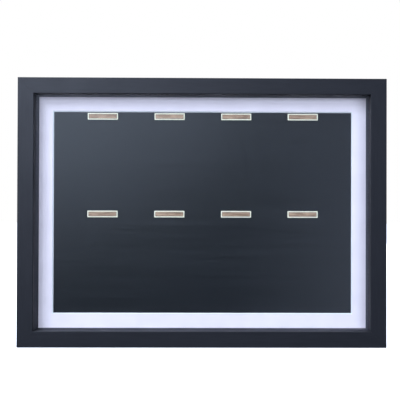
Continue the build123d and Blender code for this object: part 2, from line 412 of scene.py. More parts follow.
@dataclass(frozen=True)
class MountBoardCore(TonedFinish):
    """The pulp core of mount board where a blade has cut it: soft, bright, with small fibres."""

    tones: Tones = ("#E4E3E2", "#F3F3F2")
    pattern: Pattern = Pattern(0.4, detail=4.0)
    sheen: Sheen = Sheen(0.95, 0.95)
    relief: Relief = Relief(0.04)
    gloss: float = 0.15


@dataclass(frozen=True)
class BlackCardFacing(TonedFinish):
    """Black card facing, calendered smooth: a low sheen with faint level streaks from the rollers.

    Real roller lines are under 0.5 mm apart: they are drawn coarser so that they show.
    """

    tones: Tones = ("#03060A", "#080C13")
    pattern: Pattern = Pattern(2.4, 160.0, 4.0)
    sheen: Sheen = Sheen(0.36, 0.47)
    relief: Relief = Relief(0.015, 0.35, Pattern(0.5, detail=2.0))
    gloss: float = 0.75


@dataclass(frozen=True)
class WhiteFoamCore(TonedFinish):
    """White polystyrene foam cut with a blade: matt, with open cells whose middles are coloured darker
    as painted shade.
    """

    tones: Tones = ("#C9C9C6", "#ECECE9")
    pattern: Pattern = CutCells(0.6)
    sheen: Sheen = Sheen(0.9, 0.9)
    relief: Relief = Relief(0.1, 1.0)


@dataclass(frozen=True)
class CreamPlateLaminate(TonedFinish):
    """Cream engraving laminate, routed to a bevelled edge: smooth, dense, slightly waxy and mottled."""

    tones: Tones = ("#FCEFD2", "#FFF5DC")
    pattern: Pattern = Pattern(2.0)
    sheen: Sheen = Sheen(0.45, 0.45)
    relief: Relief = Relief(0.01, 0.3)
    gloss: float = 0.4


@dataclass(frozen=True)
class BrushedTanFoil(TonedFinish):
    """Bronze-tan foil on the plate's raised field, brushed along its length and mottled by wear.

    Real brush strokes are near 0.1 mm wide: they are drawn coarser so that they show.
    """

    tones: Tones = ("#856650", "#BA977C")
    pattern: Pattern = Pattern(0.9, 14.0)
    clouds: Clouds = Clouds(Pattern(5.0, 10.0), 0.18)
    sheen: Sheen = Sheen(0.42, 0.58)
    relief: Relief = Relief(0.02, 0.4)


@dataclass(frozen=True)
class DarkPlateCore(BrushedTanFoil):
    """The groove cut round the field, a real groove whose dark colour is a painted shadow line along the
    raised field's edge: matt, with the cutter's marks.
    """

    tones: Tones = ("#2A231F", "#453A33")
    sheen: Sheen = Sheen(0.62, 0.78)


@dataclass(frozen=True)
class AdhesiveFoamTape(TonedFinish):
    """Grey acrylic foam tape, die-cut: soft, matt, with fine closed cells."""

    tones: Tones = ("#9A9B9C", "#B4B5B6")
    pattern: Pattern = Pattern(0.3, detail=2.0)
    sheen: Sheen = Sheen(0.85, 0.85)
    relief: Relief = Relief(0.04)


@dataclass(frozen=True)
class BrightZincPlate(TonedFinish):
    """Mild steel, stamped or drawn and then bright zinc plated: cool, clouded by handling, tumbled."""

    tones: Tones = ("#B4B9BE", "#D5D8DB")
    pattern: Pattern = Pattern(4.0, detail=4.0, fineness=0.6)
    sheen: Sheen = Sheen(0.24, 0.42)
    relief: Relief = Relief(0.01, 0.35, Pattern(0.35, 1.4))
    metallic: float = 1.0


@dataclass(frozen=True)
class RolledSpringSteel(TonedFinish):
    """Blued spring steel, rolled and sheared: dark grey metal with lighter rub marks."""

    tones: Tones = ("#6B6E74", "#9DA0A5")
    pattern: Pattern = Pattern(0.4, detail=4.0, fineness=0.65)
    sheen: Sheen = Sheen(0.32, 0.5)
    relief: Relief = Relief(0.01, 0.4)
    metallic: float = 1.0


@dataclass(frozen=True)
class MouldedBlackRubber(TonedFinish):
    """Black rubber, moulded in a spark-eroded tool: matt, finely pebbled and a little dusty."""

    tones: Tones = ("#151516", "#232325")
    pattern: Pattern = Pattern(3.0, detail=4.0)
    sheen: Sheen = Sheen(0.7, 0.85)
    relief: Relief = Relief(0.04, 0.5, Pattern(0.4, detail=2.0))
    gloss: float = 0.35


@dataclass(frozen=True)
class WhiteSeamlessPaper(TonedFinish):
    """White seamless background paper, matt, with a little light of its own to keep it even."""

    tones: Tones = ("#F5F5F6", "#F7F7F8")
    pattern: Pattern = Pattern(8.0)
    sheen: Sheen = Sheen(0.85, 0.95)
    relief: Relief = Relief(0.01, 0.1)
    gloss: float = 0.1
    glow: float = 0.55


# --- Drawing meshes ------------------------------------------------------------------------------------


def rounded_outline(corners: Sequence[tuple[float, float, float]], steps: int) -> Outline:
    """Draw a closed outline with its corners rounded.

    Args:
        corners: Across, up and rounding radius of each corner, counter-clockwise.
        steps: How many sides each rounding has.

    Returns:
        The outline's points.
    """
    points = []
    for place, (x, y, radius) in enumerate(corners):
        corner = Vector((x, y))
        if not radius:
            points.append(corner)
            continue
        back = (Vector(corners[place - 1][:2]) - corner).normalized()
        ahead = (Vector(corners[(place + 1) % len(corners)][:2]) - corner).normalized()
        half = back.angle(ahead) / 2
        centre = corner + (back + ahead).normalized() * (radius / math.sin(half))
        first = corner + back * (radius / math.tan(half)) - centre
        last = corner + ahead * (radius / math.tan(half)) - centre
        turn = first.angle(last)
        for step in range(steps + 1):
            share = step / steps
            swung = first * math.sin((1 - share) * turn) + last * math.sin(share * turn)
            points.append(centre + swung / math.sin(turn))
    return points


def rectangle(low: tuple[float, float], high: tuple[float, float], rounding: float = 0.0) -> Outline:
    """Draw an upright rectangle.

    Args:
        low: Its lowest corner.
        high: Its highest corner.
        rounding: The radius of its corners.

    Returns:
        The outline's points, counter-clockwise.
    """
    (x0, y0), (x1, y1) = low, high
    corners = [(x0, y0, rounding), (x1, y0, rounding), (x1, y1, rounding), (x0, y1, rounding)]
    return rounded_outline(corners, steps=3)


def inset_outline(outline: Outline, inset: float) -> Outline:
    """Move every side of a counter-clockwise outline inwards.

    Args:
        outline: The outline's points.
        inset: How far each side moves.

    Returns:
        The smaller outline, with as many points.
    """
    points = []
    for place, point in enumerate(outline):
        before = (point - outline[place - 1]).normalized()
        after = (outline[(place + 1) % len(outline)] - point).normalized()
        in_before, in_after = Vector((-before.y, before.x)), Vector((-after.y, after.x))
        points.append(point + (in_before + in_after) * (inset / (1 + in_before.dot(in_after))))
    return points


def upright(point: Vector, depth: float) -> Vector:
    """Place an outline's point on the upright plane at that depth."""
    return Vector((point.x, depth, point.y))


class Draft:
    """A mesh drawn in millimetres from rings of points."""

    def __init__(self) -> None:
        """Start with nothing drawn."""
        self.mesh = bmesh.new()

    def ring(self, points: Iterable[Vector]) -> Ring:
        """Add points that later faces join."""
        return [self.mesh.verts.new(point) for point in points]

    def skin(
        self,
        rings: Sequence[Ring],
        finishes: Sequence[int] | int = 0,
        ends: Sequence[int] = (),
        looped: bool = False,
        closed: bool = True,
    ) -> None:
        """Join each ring to the next with faces.

        Args:
            rings: Rings or rows with equally many vertices.
            finishes: The finish of each gap between rings, or one for all.
            ends: The finishes of faces that close the first and the last ring, where they are closed.
            looped: Whether the last ring joins the first.
            closed: Whether the rings are closed, and not open rows.
        """
        pairs = list(zip(rings, rings[1:], strict=False)) + ([(rings[-1], rings[0])] if looped else [])
        for gap, (first, second) in enumerate(pairs):
            index = finishes if isinstance(finishes, int) else finishes[gap]
            for place in range(len(first) if closed else len(first) - 1):
                after = (place + 1) % len(first)
                corners = (first[place], first[after], second[after], second[place])
                self.mesh.faces.new(corners).material_index = index
        for ring, index in zip((rings[0], rings[-1]), ends, strict=False):
            self.mesh.faces.new(ring).material_index = index

    def levels(self, outlines: Iterable[tuple[Outline, float]]) -> list[Ring]:
        """Add a ring for each upright outline and its depth."""
        return [self.ring(upright(point, depth) for point in outline) for outline, depth in outlines]

    def prism(
        self,
        outline: Outline,
        depths: tuple[float, float],
        softening: float = 0.0,
        finishes: tuple[int, int, int] = (0, 0, 0),
    ) -> None:
        """Draw an upright slab with rounded rims.

        Args:
            outline: Its outline, counter-clockwise.
            depths: Where its front and back are.
            softening: The rounding of both rims.
            finishes: The finish of the front, the sides and the back.
        """
        front, back = depths
        arcs = [math.radians(turn) for turn in (RIM_TURNS if softening else RIM_TURNS[-1:])]
        rim = [(softening * (1 - math.sin(arc)), softening * (1 - math.cos(arc))) for arc in arcs]
        steps = [(inset, front + rise) for inset, rise in rim]
        steps += [(inset, back - rise) for inset, rise in reversed(rim)]
        rings = self.levels((inset_outline(outline, inset), depth) for inset, depth in steps)
        self.skin(rings, finishes[1], finishes[::2])

    def revolved(self, profile: Sequence[tuple[float, float]], centre: Vector, sides: int = 48) -> None:
        """Turn a profile about an axis along Y and close both its ends.

        Args:
            profile: Radius and depth of each point, where the end radii may be zero.
            centre: A point on the axis, whose Y is added to each depth.
            sides: How many sides the round has.
        """
        rings = [self.ring(around(centre, radius, depth, sides)) for radius, depth in profile if radius]
        self.skin(rings)
        for ring, (radius, depth) in ((rings[0], profile[0]), (rings[-1], profile[-1])):
            if radius:
                self.mesh.faces.new(ring)
                continue
            hub = self.mesh.verts.new(centre + Vector((0, depth, 0)))
            for place, vertex in enumerate(ring):
                self.mesh.faces.new((vertex, ring[(place + 1) % sides], hub))

    def piece(self, name: str, *finishes: Finish) -> Thing:
        """Turn the draft into an object in metres.

        Args:
            name: The object's name.
            *finishes: The finishes that its faces count through.

        Returns:
            The object, in the scene.
        """
        bmesh.ops.remove_doubles(self.mesh, verts=self.mesh.verts, dist=SAME_POINT)
        bmesh.ops.recalc_face_normals(self.mesh, faces=self.mesh.faces)
        bmesh.ops.scale(self.mesh, verts=self.mesh.verts, vec=Vector((MM, MM, MM)))
        data = bpy.data.meshes.new(name)
        self.mesh.to_mesh(data)
        self.mesh.free()
        for finish in finishes:
            data.materials.append(finish.material())
        data.shade_smooth()
        data.set_sharp_from_angle(angle=SMOOTH_BELOW)
        thing = bpy.data.objects.new(name, data)
        bpy.context.scene.collection.objects.link(thing)
        return thing


def around(centre: Vector, radius: float, depth: float, sides: int) -> list[Vector]:
    """Points round an axis along Y, at a radius from it and a depth from centre."""
    turns = (2 * math.pi * side / sides for side in range(sides))
    return [centre + Vector((radius * math.cos(turn), depth, radius * math.sin(turn))) for turn in turns]


def dome(foot: float, top: float, height: float, rounding: float) -> list[tuple[float, float]]:
    """The profile of a round button, chamfered at its foot and rounded at its top.

    Args:
        foot: Its radius at the foot.
        top: Its radius below the rounding.
        height: How tall it is.
        rounding: The radius of the rounding.

    Returns:
        Radius and height of each point from the foot up.
    """
    inset, rise = FOOT_CHAMFER
    profile = [(foot - inset, 0.0), (foot, rise)]
    for turn in TOP_TURNS:
        swing = math.radians(turn)
        away = (rounding * (1 - math.cos(swing)), rounding * (1 - math.sin(swing)))
        profile.append((top - away[0], height - away[1]))
    return profile


def apply_modifiers(thing: Thing) -> None:
    """Replace an object's mesh by what its modifiers make of it.

    Args:
        thing: The object, which has no modifiers afterwards.
    """
    bpy.context.view_layer.update()
    scene_graph = bpy.context.evaluated_depsgraph_get()
    old = thing.data
    thing.data = bpy.data.meshes.new_from_object(
        thing.evaluated_get(scene_graph), preserve_all_data_layers=True, depsgraph=scene_graph
    )
    thing.data.name = thing.name
    thing.modifiers.clear()
    bpy.data.meshes.remove(old)


def cut(thing: Thing, cutter: Thing) -> None:
    """Take another shape out of a piece and delete it.

    Args:
        thing: The piece that is cut.
        cutter: What is taken out of it.
    """
    hollow = thing.modifiers.new("cut", "BOOLEAN")
    hollow.operation = "DIFFERENCE"
    hollow.solver = "EXACT"
    hollow.object = cutter
    apply_modifiers(thing)
    bpy.data.meshes.remove(cutter.data)
    thing.data.shade_smooth()
    thing.data.set_sharp_from_angle(angle=SMOOTH_BELOW)


def pierce(thing: Thing, centre: Vector, radius: float, depth: float) -> None:
    """Cut a round hole right through a sheet.

    Args:
        thing: The piece that is cut.
        centre: The middle of the hole in the sheet's front.
        radius: The hole's radius, in millimetres.
        depth: The sheet's thickness.
    """
    hole = Draft()
    hole.revolved([(radius, -CUT_PAST), (radius, depth + CUT_PAST)], centre, sides=32)
    cut(thing, hole.piece(f"{thing.name}_hole"))


def soften(thing: Thing, radius: float, segments: int = 2) -> None:
    """Round a piece's sharp edges.

    Args:
        thing: The piece.
        radius: The rounding, in millimetres.
        segments: How many faces it has.
    """
    bevel = thing.modifiers.new("soften", "BEVEL")
    bevel.width = radius * MM
    bevel.segments = segments
    bevel.limit_method = "ANGLE"
    bevel.angle_limit = SOFTEN_ABOVE
    bevel.use_clamp_overlap = True


@dataclass(frozen=True)
class Extent:
    """Where a CAD node lies, in millimetres."""

    low: Vector
    high: Vector

    @classmethod
    def of(cls, node: str) -> "Extent":
        """The place of a node by its name."""
        low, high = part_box(node)
        return cls(low / MM, high / MM)

    @property
    def middle(self) -> Vector:
        """The middle of the node."""
        return (self.low + self.high) / 2

    @property
    def size(self) -> Vector:
        """The node's size on each axis."""
        return self.high - self.low

    @property
    def depths(self) -> tuple[float, float]:
        """Where the node's front and back are."""
        return self.low.y, self.high.y

    def outline(self, rounding: float = 0.0, inset: float = 0.0) -> Outline:
        """The node's rectangle seen from the front, drawn smaller by inset on every side."""
        low, high = (self.low.x + inset, self.low.z + inset), (self.high.x - inset, self.high.z - inset)
        return rectangle(low, high, rounding)


def place_piece(thing: Thing, body: str, node: str) -> None:
    """Finish a piece with its large faces shaded flat, fix it to its body and say what it stands for.

    Args:
        thing: The piece.
        body: The CAD body it moves with.
        node: The CAD node that it replaces.
    """
    weighted = thing.modifiers.new("flat_faces", "WEIGHTED_NORMAL")
    weighted.keep_sharp = True
    weighted.weight = 100
    apply_modifiers(thing)
    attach(thing, body)
    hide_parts(node)
    faces = len(thing.data.polygons)
    log.info("%s: %d faces, rides on %s, stands for %s", thing.name, faces, body, node)


class Side(Enum):
    """The four sides of the frame: where each begins, which way it runs and which way is inwards."""

    BOTTOM = ((-1, -1), (1, 0), (0, 1))
    RIGHT = ((1, -1), (0, 1), (-1, 0))
    TOP = ((1, 1), (-1, 0), (0, -1))
    LEFT = ((-1, 1), (0, -1), (1, 0))

    @property
    def grain(self) -> Grain:
        """The way that this side's streaks run."""
        return Grain.LEVEL if self.value[1][0] else Grain.UPRIGHT

    @property
    def label(self) -> str:
        """The side's name within node names."""
        return self.name.lower()


# --- Sub-assemblies ------------------------------------------------------------------------------------


@dataclass
class MouldedFrame:
    """Four foiled fibreboard rails, mitred and pinned at the back with V-nails.

    The moulding is an upside-down L: a deep wall with a lip that holds the glazing in. Screw places are
    where the turn buttons' and hangers' screws go into the back of the rails.
    """

    screw_places: Sequence[Vector]
    front_rounding: float = 0.8
    lip_rounding: float = 0.2
    back_rounding: float = 0.5
    foil_wrap: float = 2.8
    mitre_gap: float = 0.01
    mitre_rounding: float = 0.05
    nail_leg: float = 6.0
    nail_thickness: float = 0.8
    nail_insets: tuple[float, float] = (3.5, 9.5)
    nail_softening: float = 0.08
    nail_clearance: float = 0.03
    hole_radius: float = 1.54
    hole_depth: float = 12.0
    hole_point: float = 1.0
    rounding_steps: int = 6
    FOIL: ClassVar[int] = 0
    BOARD: ClassVar[int] = 1

    def build(self) -> None:
        """Build the rails and nails."""
        bounds = [Extent.of(f"rail_{side.label}") for side in Side]
        self.low = Vector(min(extent.low[axis] for extent in bounds) for axis in range(3))
        self.high = Vector(max(extent.high[axis] for extent in bounds) for axis in range(3))
        self.face = bounds[0].size.z
        self.wall = Extent.of("spacer_bottom").low.z - self.low.z
        self.lip_back = Extent.of("glazing_sheet").low.y
        for side in Side:
            self.build_rail(side)
        self.build_nails()

    def moulding(self) -> list[tuple[Vector, int]]:
        """Draw the moulding's cross-section.

        Returns:
            Each point, as distance from the outer face and depth, with the finish of the side after it.
        """
        front, back, steps = self.low.y, self.high.y, self.rounding_steps
        corners = [
            (0.0, front, self.front_rounding, self.FOIL),
            (self.face, front, self.front_rounding, self.FOIL),
            (self.face, self.lip_back, self.lip_rounding, self.FOIL),
            (self.wall, self.lip_back, 0.0, self.BOARD),
            (self.wall, back, self.back_rounding, self.BOARD),
            (self.foil_wrap, back, 0.0, self.FOIL),
            (0.0, back, self.back_rounding, self.FOIL),
        ]
        points = rounded_outline([corner[:3] for corner in corners], steps)
        finishes = [finish for *_, radius, finish in corners for _ in range(steps + 1 if radius else 1)]
        return list(zip(points, finishes, strict=True))

    def build_rail(self, side: Side) -> None:
        """Sweep the moulding along one side between its mitres.

        Args:
            side: Which side of the frame.
        """
        start, along, inwards = (Vector(value) for value in side.value)
        half = Vector((self.high.x - self.low.x, self.high.z - self.low.z)) / 2
        middle = Vector((self.low.x + self.high.x, self.low.z + self.high.z)) / 2
        corner = middle + Vector((start.x * half.x, start.y * half.y))
        length = 2 * abs(along.dot(half))
        section = self.moulding()
        full = [point for point, _ in section]
        tip = inset_outline(full, self.mitre_rounding), self.mitre_gap
        body = full, self.mitre_gap + self.mitre_rounding
        draft, rings = Draft(), []
        for far, (outline, gap) in ((False, tip), (False, body), (True, body), (True, tip)):
            points = []
            for point in outline:
                run = point.x + gap
                flat = corner + inwards * point.x + along * (length - run if far else run)
                points.append(Vector((flat.x, point.y, flat.y)))
            rings.append(draft.ring(points))
        draft.skin(rings, ends=(self.BOARD, self.BOARD))
        finishes = [finish for _, finish in section] * (len(rings) - 1)
        for face, finish in zip(draft.mesh.faces, finishes, strict=False):
            face.material_index = finish
        name = f"foiled_rail_{side.label}"
        rail = draft.piece(name, SatinBlackFoil(grain=side.grain), RawFibreboard())
        cut(rail, self.openings())
        place_piece(rail, "frame", f"rail_{side.label}")

    def nail_outlines(self, extra: float) -> Iterable[Outline]:
        """The eight V-nails seen from the front.

        Args:
            extra: How much larger than the nail each outline is.

        Yields:
            Each nail's outline, its apex outwards and a leg in each rail.
        """
        leg, wide = self.nail_leg + extra, self.nail_thickness + extra
        shape = [(-extra, -extra), (leg, -extra), (leg, wide), (wide, wide), (wide, leg), (-extra, leg)]
        for turn, (x_side, z_side) in enumerate(((-1, -1), (1, -1), (1, 1), (-1, 1))):
            turned = Matrix.Rotation(math.radians(90 * turn), 2)
            for inset in self.nail_insets:
                x = (self.low.x if x_side < 0 else self.high.x) - x_side * inset
                z = (self.low.z if z_side < 0 else self.high.z) - z_side * inset
                yield [turned @ Vector(point) + Vector((x, z)) for point in shape]

    def openings(self) -> Thing:
        """Draw what the nails and screws take out of the rails.

        Returns:
            The nails' slots and the screws' pilot holes as one cutting shape.
        """
        start, end = Extent.of("corner_v_nails").depths
        draft = Draft()
        for outline in self.nail_outlines(self.nail_clearance):
            draft.prism(outline, (start - self.nail_clearance, end + CUT_PAST))
        floor, rim = self.high.y - self.hole_depth, self.high.y + CUT_PAST
        profile = [(0.0, floor - self.hole_point), (self.hole_radius, floor), (self.hole_radius, rim)]
        for place in self.screw_places:
            draft.revolved(profile, Vector((place.x, 0, place.z)), sides=24)
        return draft.piece("rail_openings")

    def build_nails(self) -> None:
        """Drive the V-nails in flush with the back of the rails."""
        draft = Draft()
        for outline in self.nail_outlines(0.0):
            draft.prism(outline, Extent.of("corner_v_nails").depths, self.nail_softening)
        nails = draft.piece("driven_v_nails", RolledSpringSteel())
        place_piece(nails, "frame", "corner_v_nails")


@dataclass
class GlazedStack:
    """What stands behind the lip, from the glass to the backboard."""

    glass_seam: float = 0.35
    spacer_rounding: tuple[float, float] = (0.25, 0.0)
    facing: float = 0.25
    board_rounding: tuple[float, float] = (0.12, 0.0)
    backboard_rounding: tuple[float, float] = (0.3, 1.0)

    def build(self) -> None:
        """Build every sheet and strip of the stack."""
        self.build_glass()
        for side in Side:
            node, strip = f"spacer_{side.label}", BlackPolystyrene(grain=side.grain)
            self.build_slab(f"extruded_{node}", node, "black_spacer", self.spacer_rounding, strip)
        self.build_mount()
        board = "black_faced_board", "display_board", "black_display_board", self.board_rounding
        self.build_slab(*board, BlackCardFacing(), WhiteFoamCore())
        back = "hardboard_back", "backboard", "back_fibreboard", self.backboard_rounding
        self.build_slab(*back, TemperedHardboard())

    def build_slab(
        self, name: str, node: str, slot: str, rounding: tuple[float, float], *finishes: Finish
    ) -> None:
        """Build a sheet or strip with softened edges.

        Args:
            name: The piece's name.
            node: The CAD node that it stands for.
            slot: The record's material slot; not used.
            rounding: The rounding of its rims and of its corners.
            *finishes: The finish of its faces, and of its cut edges where that differs.
        """
        extent = Extent.of(node)
        rim, corner = rounding
        draft = Draft()
        draft.prism(extent.outline(corner), extent.depths, rim, (0, len(finishes) - 1, 0))
        place_piece(draft.piece(name, *finishes), "frame", node)

    def build_glass(self) -> None:
        """Build a pane with seamed edges."""
        pane, seam = Extent.of("glazing_sheet"), self.glass_seam
        front, back = pane.depths
        full = pane.outline()
        seamed = inset_outline(full, seam)
        draft = Draft()
        levels = (seamed, front), (full, front + seam), (full, back - seam), (seamed, back)
        draft.skin(draft.levels(levels), 1, (0, 0))
        glass = draft.piece("seamed_glass_pane", ClearFloatGlass(), GroundGlassEdge())
        place_piece(glass, "frame", "glazing_sheet")

    def build_mount(self) -> None:
        """Build a faced board with a window cut at 45 degrees, so that its core shows all round."""
        board, facing = Extent.of("window_mount"), self.facing
        front, back = board.depths
        points = [vertex.co / MM for vertex in frame["nodes"]["window_mount"].data.vertices]
        inner = [
            point
            for point in points
            if abs(point.x) < board.high.x - facing and point.y > (front + back) / 2
        ]
        window = rectangle(
            (min(point.x for point in inner), min(point.z for point in inner)),
            (max(point.x for point in inner), max(point.z for point in inner)),
        )
        edge = [(board.outline(), depth) for depth in (back, back - facing, front + facing, front)]
        bevel = [
            (inset_outline(window, depth - back), depth)
            for depth in (front, front + facing, back - facing, back)
        ]
        paper, core = 0, 1
        draft = Draft()
        finishes = (paper, core, paper, paper, paper, core, paper, paper)
        draft.skin(draft.levels(edge + bevel), finishes, looped=True)
        mount = draft.piece("bevel_cut_mount", WhiteMountPaper(), MountBoardCore())
        place_piece(mount, "frame", "window_mount")


@dataclass
class NamePlates:
    """Eight blank bevelled plates, each with a raised tan field, on pads of foam tape."""

    count: int = 8
    bevel: float = 0.25
    rim: float = 1.6
    field_rise: float = 0.3
    field_softening: float = 0.1
    groove_width: float = 0.3
    groove_depth: float = 0.35
    back_softening: float = 0.1
    corner: float = 0.3
    pad_inset: float = 1.9
    pad_swell: float = 0.25

    def build(self) -> None:
        """Build the plates, then the pads under them."""
        pads, extent = Draft(), Extent.of("name_plate_pads")
        for number in range(1, self.count + 1):
            plate = Extent.of(f"name_plate_{number}")
            self.build_plate(number, plate)
            outline = plate.outline(inset=self.pad_inset)
            pads.prism(outline, extent.depths, extent.size.y * self.pad_swell)
        tape = pads.piece("foam_tape_pads", AdhesiveFoamTape())
        place_piece(tape, "frame", "name_plate_pads")

    def build_plate(self, number: int, plate: Extent) -> None:
        """Build one plate.

        Args:
            number: Its number, row by row from the top left.
            plate: Where it lies.
        """
        front, back = plate.depths
        rim_front = front + self.field_rise
        floor = rim_front + self.groove_depth
        rim = plate.outline(self.corner)
        raised = plate.outline(self.corner, self.rim)
        groove = plate.outline(self.corner, self.rim - self.groove_width)
        # the groove's dark finish is painted shade along the raised field's edge
        laminate, foil, core = 0, 1, 2
        levels = [
            (inset_outline(rim, self.back_softening), back, laminate),
            (rim, back - self.back_softening, laminate),
            (rim, rim_front + self.bevel, laminate),
            (inset_outline(rim, self.bevel), rim_front, laminate),
            (groove, rim_front, core),
            (groove, floor, core),
            (raised, floor, foil),
            (raised, front + self.field_softening, foil),
            (inset_outline(raised, self.field_softening), front, foil),
        ]
        draft = Draft()
        rings = draft.levels(level[:2] for level in levels)
        draft.skin(rings, [level[2] for level in levels], (laminate, foil))
        name = f"bevelled_name_plate_{number}"
        blank = draft.piece(name, CreamPlateLaminate(), BrushedTanFoil(), DarkPlateCore())
        place_piece(blank, "frame", f"name_plate_{number}")


@dataclass
class PanScrew:
    """A pan-head wood screw with a crossed recess."""

    shank_radius: float = 1.5
    root_radius: float = 1.12
    length: float = 12.0
    point: float = 2.4
    tip_radius: float = 0.12
    pitch: float = 1.1
    head_radius: float = 3.0
    head_height: float = 1.8
    head_rounding: float = 0.9
    recess_span: float = 3.4
    recess_width: float = 0.8
    recess_floor: float = 0.45
    recess_depth: float = 1.1
    recess_taper: float = 0.4
    recess_reach: tuple[float, float] = (1.12, 0.4)
    crest_width: float = 0.2
    sides: int = 24
    steps_per_turn: int = 8

    def draw(self, draft: Draft, place: Vector) -> None:
        """Draw the head and the threaded shank as one closed skin.

        Args:
            draft: What it is drawn in.
            place: The middle of the underside of its head.
        """
        rings = []
        steps = int(self.length / self.pitch * self.steps_per_turn)
        for step in range(steps, -1, -1):
            reach = self.length * step / steps
            taper = min(1.0, (self.length - reach) / self.point)
            points = []
            for side in range(self.sides):
                turn = side / self.sides
                phase = (reach / self.pitch + turn) % 1.0
                ridge = max(0.0, 1 - abs(phase - 0.5) / self.crest_width) * min(1.0, reach / self.pitch)
                radius = self.root_radius + (self.shank_radius - self.root_radius) * ridge
                radius = self.tip_radius + (radius - self.tip_radius) * taper
                swing = 2 * math.pi * turn
                point = Vector((radius * math.cos(swing), -reach, radius * math.sin(swing)))
                points.append(place + point)
            rings.append(draft.ring(points))
        crown = dome(self.head_radius, self.head_radius, self.head_height, self.head_rounding)
        rings += [draft.ring(around(place, radius, height, self.sides)) for radius, height in crown]
        draft.skin(rings, ends=(0, 0))

    def draw_recess(self, draft: Draft, place: Vector) -> None:
        """Draw the crossed recess as a tapering shape to be cut out.

        Args:
            draft: What it is drawn in.
            place: The middle of the underside of the screw's head.
        """
        span, wide = self.recess_span / 2, self.recess_width / 2
        top = place.y + self.head_height
        flare, over = self.recess_reach
        floor = self.recess_floor, top - self.recess_depth
        rings = []
        for share, depth in ((flare, top + over), (1.0, top), floor):
            arm, half = span * share, wide * (1 - self.recess_taper * (1 - share))
            cross = [(arm, -half), (arm, half), (half, half), (half, arm), (-half, arm), (-half, half)]
            cross += [(-x, -z) for x, z in cross]
            rings.append(draft.ring(Vector((place.x + x, depth, place.z + z)) for x, z in cross))
        draft.skin(rings, ends=(0, 0))

    def build(self, name: str, node: str, places: Sequence[Vector]) -> None:
        """Build a group of screws.

        Args:
            name: The piece's name.
            node: The CAD node that it stands for.
            places: The middle of the underside of each head.
        """
        screws, recesses = Draft(), Draft()
        for place in places:
            self.draw(screws, place)
            self.draw_recess(recesses, place)
        group = screws.piece(name, BrightZincPlate())
        cut(group, recesses.piece(f"{name}_recesses"))
        place_piece(group, "frame", node)


@dataclass
class TurnButtons:
    """Six stamped buttons that hold the backboard in, each on its own screw."""

    count: int = 6
    width: float = 11.0
    thickness: float = 1.2
    reach: float = 20.0
    lip_length: float = 4.5
    lip_rise: float = 1.5
    hole_radius: float = 1.58
    edge_rounding: float = 0.22
    columns: int = 8
    rows_apart: float = 2.5
    flat_rows: int = 5
    turns: range = range(0, 91, 10)
    screw: PanScrew = field(default_factory=PanScrew)

    def pivots(self) -> list[Vector]:
        """Where the buttons turn, in order, from the record's joints."""
        hinges = {joint["child"]: Vector(joint["pos_m"]) / MM for joint in frame["joints"]}
        return [hinges[f"turn_button_{number}"] for number in range(1, self.count + 1)]

    def build(self) -> None:
        """Build the buttons and their screws."""
        pivots = self.pivots()
        for number, pivot in enumerate(pivots, start=1):
            self.build_button(number, pivot)
        head_y = Extent.of("turn_button_screws").high.y - self.screw.head_height
        places = [Vector((pivot.x, head_y, pivot.z)) for pivot in pivots]
        self.screw.build("turn_button_pan_screws", "turn_button_screws", places)

    def bend(self, run: float) -> float:
        """How far the button has risen at a distance from its pivot."""
        share = min(1.0, max(0.0, (run - self.reach + self.lip_length) / self.lip_length))
        return self.lip_rise * share * share * (2 - share)

    def build_button(self, number: int, pivot: Vector) -> None:
        """Stamp one button: round ends, a pierced pivot hole and a finger lip turned up at the tip.

        Args:
            number: The button's number.
            pivot: Where it turns.
        """
        node = f"turn_button_{number}"
        extent = Extent.of(node)
        outwards = extent.middle - pivot
        inwards = Vector((outwards.x, 0, outwards.z)).normalized()
        sideways = Vector((0, 1, 0)).cross(inwards)
        radius = self.width / 2
        arcs = [math.radians(turn) for turn in self.turns]
        stations = [-radius * math.cos(arc) for arc in arcs]
        stations += [self.rows_apart * row for row in range(1, self.flat_rows + 1)]
        stations += [self.reach - radius + radius * math.sin(arc) for arc in arcs]
        shares = [2 * column / self.columns - 1 for column in range(self.columns + 1)]
        draft, sheets = Draft(), []
        for lift in (0.0, self.thickness):
            rows = []
            for run in stations:
                past_end = max(0.0, -run, run - (self.reach - radius))
                half = math.sqrt(max(0.0, radius * radius - past_end * past_end))
                height = extent.low.y + lift + self.bend(run)
                base = Vector((pivot.x, height, pivot.z)) + inwards * run
                rows.append(draft.ring(base + sideways * (half * share) for share in shares))
            draft.skin(rows, closed=False)
            sheets.append([row[0] for row in rows] + [row[-1] for row in reversed(rows)])
        draft.skin(sheets)
        button = draft.piece(f"stamped_{node}", BrightZincPlate())
        pierce(button, Vector((pivot.x, extent.low.y, pivot.z)), self.hole_radius, self.thickness)
        soften(button, self.edge_rounding, 3)
        place_piece(button, node, node)


